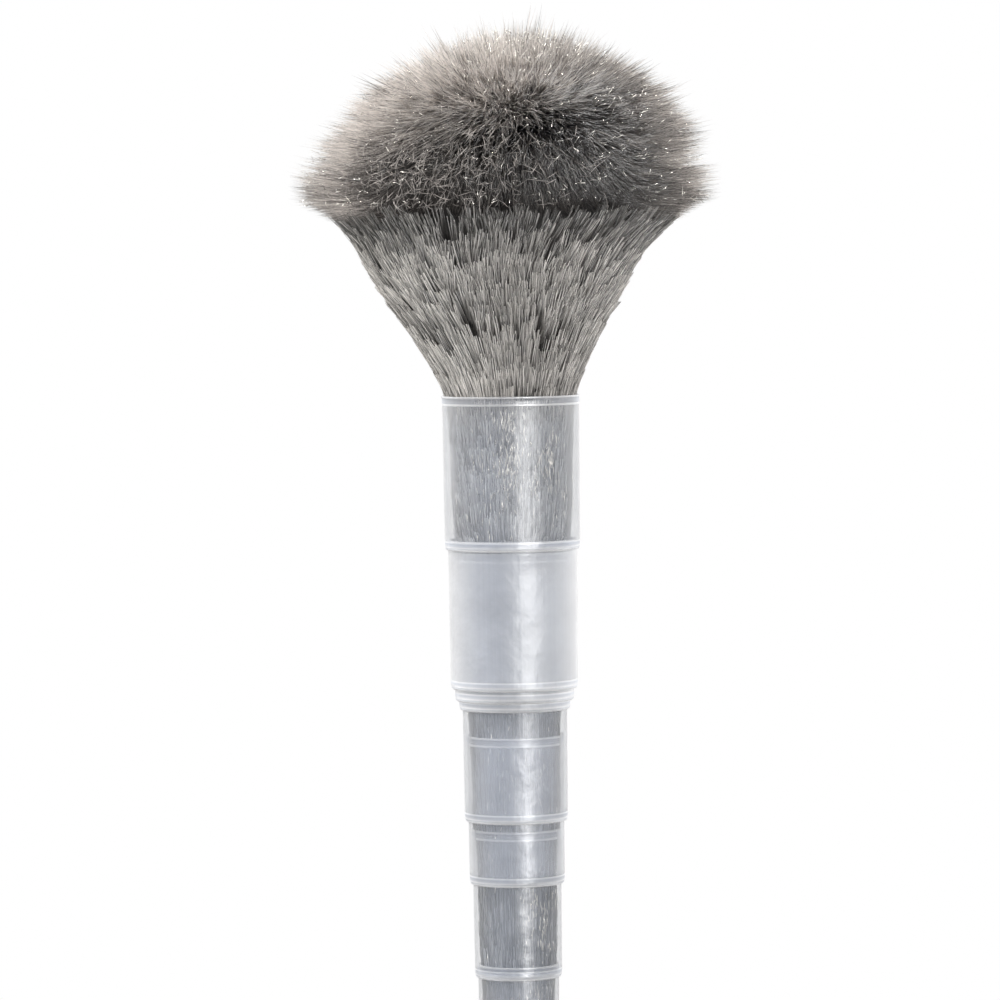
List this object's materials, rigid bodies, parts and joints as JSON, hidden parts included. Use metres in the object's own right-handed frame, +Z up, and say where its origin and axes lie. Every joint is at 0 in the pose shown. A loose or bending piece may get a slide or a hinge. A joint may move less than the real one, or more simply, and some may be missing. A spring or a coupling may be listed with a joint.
{
  "type": "electrostatic duster",
  "caption": "Long split-fibre dusting head on a twisted wire core, with translucent telescoping sleeves that slide up over it from a slim handle.",
  "frame": {"origin": "centre of the flat butt of the handle's end cap", "axes": "+Z up the wire core, from the handle to the fibre head; +Y along the hang hole; +X to the right as pictured"},
  "size_m": [0.1418, 0.1418, 0.509],
  "materials": {
    "sleeve_plastic": "translucent natural polypropylene, satin gloss",
    "handle_plastic": "smooth moulded, satin",
    "socket_plastic": "smooth moulded, matt",
    "wire_steel": "galvanised wire",
    "head_fibre": "split polypropylene film, warm grey, slightly shiny"
  },
  "bodies": {
    "handle_and_head": {"handle_end_cap": "handle_plastic", "handle_grip": "handle_plastic", "stop_collar": "handle_plastic", "sleeve_8": "sleeve_plastic", "core_socket": "socket_plastic", "cross_pin": "wire_steel", "core_wire_a": "wire_steel", "core_wire_b": "wire_steel", "core_tip_cap": "socket_plastic", "packed_fibres_1": "head_fibre", "packed_fibres_2": "head_fibre", "packed_fibres_3": "head_fibre", "packed_fibres_4": "head_fibre", "flare_fibres_lower": "head_fibre", "flare_fibres_upper": "head_fibre", "puff_skirt": "head_fibre", "puff_middle": "head_fibre", "puff_crown": "head_fibre"},
    "second_from_base_sleeve": {"sleeve_7": "sleeve_plastic"},
    "third_from_base_sleeve": {"sleeve_6": "sleeve_plastic"},
    "fourth_from_base_sleeve": {"sleeve_5": "sleeve_plastic"},
    "fourth_from_mouth_sleeve": {"sleeve_4": "sleeve_plastic"},
    "third_from_mouth_sleeve": {"sleeve_3": "sleeve_plastic"},
    "second_from_mouth_sleeve": {"sleeve_2": "sleeve_plastic"},
    "mouth_sleeve": {"sleeve_1": "sleeve_plastic"}
  },
  "joints": [
    {"name": "slide_7", "type": "slide", "parent": "handle_and_head", "child": "second_from_base_sleeve", "axis": [0, 0, 1], "range_m": [-0.0476, 0.0011], "deforming": ["flare_fibres_lower", "flare_fibres_upper", "puff_skirt", "puff_middle", "puff_crown"]},
    {"name": "slide_6", "type": "slide", "parent": "second_from_base_sleeve", "child": "third_from_base_sleeve", "axis": [0, 0, 1], "range_m": [-0.0329, 0.0158], "deforming": ["flare_fibres_lower", "flare_fibres_upper", "puff_skirt", "puff_middle", "puff_crown"]},
    {"name": "slide_5", "type": "slide", "parent": "third_from_base_sleeve", "child": "fourth_from_base_sleeve", "axis": [0, 0, 1], "range_m": [-0.0221, 0.0266], "deforming": ["flare_fibres_lower", "flare_fibres_upper", "puff_skirt", "puff_middle", "puff_crown"]},
    {"name": "slide_4", "type": "slide", "parent": "fourth_from_base_sleeve", "child": "fourth_from_mouth_sleeve", "axis": [0, 0, 1], "range_m": [-0.0392, 0.0095], "deforming": ["flare_fibres_lower", "flare_fibres_upper", "puff_skirt", "puff_middle", "puff_crown"]},
    {"name": "slide_3", "type": "slide", "parent": "fourth_from_mouth_sleeve", "child": "third_from_mouth_sleeve", "axis": [0, 0, 1], "range_m": [-0.0032, 0.0455], "deforming": ["flare_fibres_lower", "flare_fibres_upper", "puff_skirt", "puff_middle", "puff_crown"]},
    {"name": "slide_2", "type": "slide", "parent": "third_from_mouth_sleeve", "child": "second_from_mouth_sleeve", "axis": [0, 0, 1], "range_m": [-0.0042, 0.0445], "deforming": ["flare_fibres_lower", "flare_fibres_upper", "puff_skirt", "puff_middle", "puff_crown"]},
    {"name": "slide_1", "type": "slide", "parent": "second_from_mouth_sleeve", "child": "mouth_sleeve", "axis": [0, 0, 1], "range_m": [-0.0487, 0]}
  ]
}
